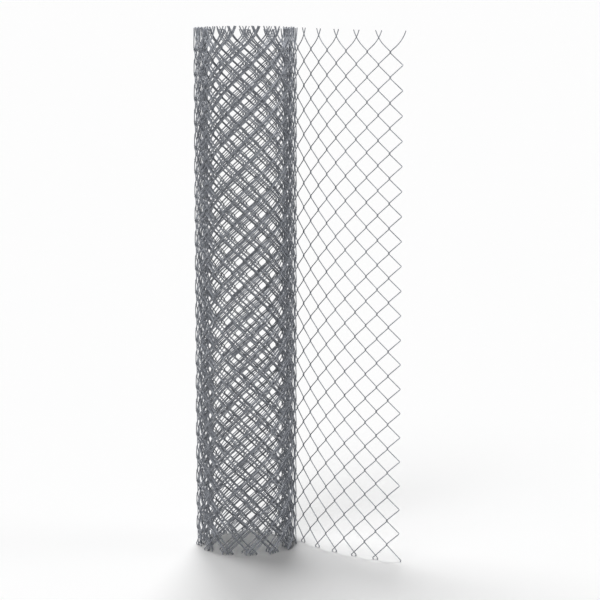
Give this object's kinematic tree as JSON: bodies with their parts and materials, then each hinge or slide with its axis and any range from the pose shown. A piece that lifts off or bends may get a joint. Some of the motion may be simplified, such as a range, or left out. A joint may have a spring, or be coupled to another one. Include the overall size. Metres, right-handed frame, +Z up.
{
  "type": "roll of chain link fencing",
  "caption": "Open roll of galvanised chain link fencing stood on end, woven from hooked zigzag wires, with its barbed loose edge led off in a curve.",
  "frame": {"origin": "on the roll's axis, at the floor it stands on", "axes": "+Z up along the roll's axis; the loose end leads off towards +X and then -Y, as the picture shows it from -Y"},
  "size_m": [0.5987, 0.3598, 1.5235],
  "materials": {
    "galvanised_wire": "hot-dip galvanised, dull satin zinc"
  },
  "bodies": {
    "root": {"wound_roll": "galvanised_wire", "loose_end": "galvanised_wire"}
  },
  "joints": []
}
